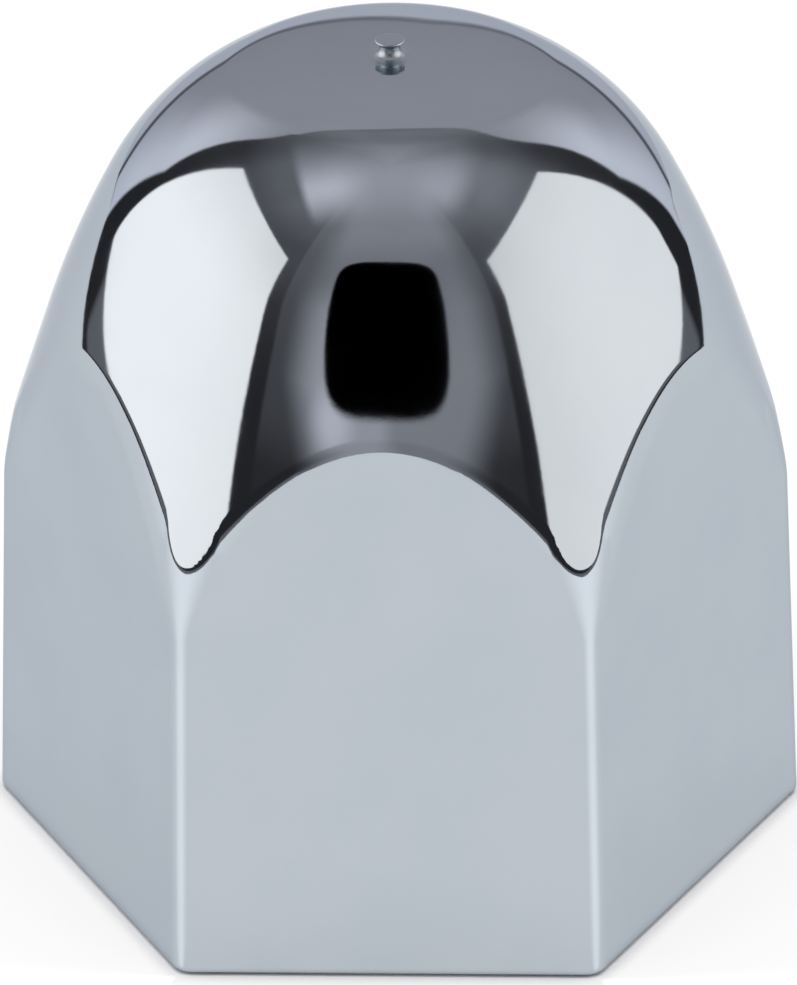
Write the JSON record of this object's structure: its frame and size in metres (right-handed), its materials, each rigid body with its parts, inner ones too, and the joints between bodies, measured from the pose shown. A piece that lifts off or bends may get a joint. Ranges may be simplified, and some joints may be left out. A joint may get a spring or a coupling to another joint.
{
  "type": "wheel nut cover cap",
  "caption": "Bright plated push-on cap for a hexagonal wheel nut, with a six-sided drafted skirt under a rounded dome and an open hexagonal socket below.",
  "frame": {"origin": "on the axis, in the plane of the mouth rim", "axes": "+Z along the axis from the mouth to the apex, with one flat facing -Y and two skirt corners on X"},
  "size_m": [0.0286, 0.025, 0.0296],
  "materials": {
    "bright_plating": "mirror-bright chrome plate over moulded ABS"
  },
  "bodies": {
    "root": {"nut_cap": "bright_plating"}
  },
  "joints": []
}
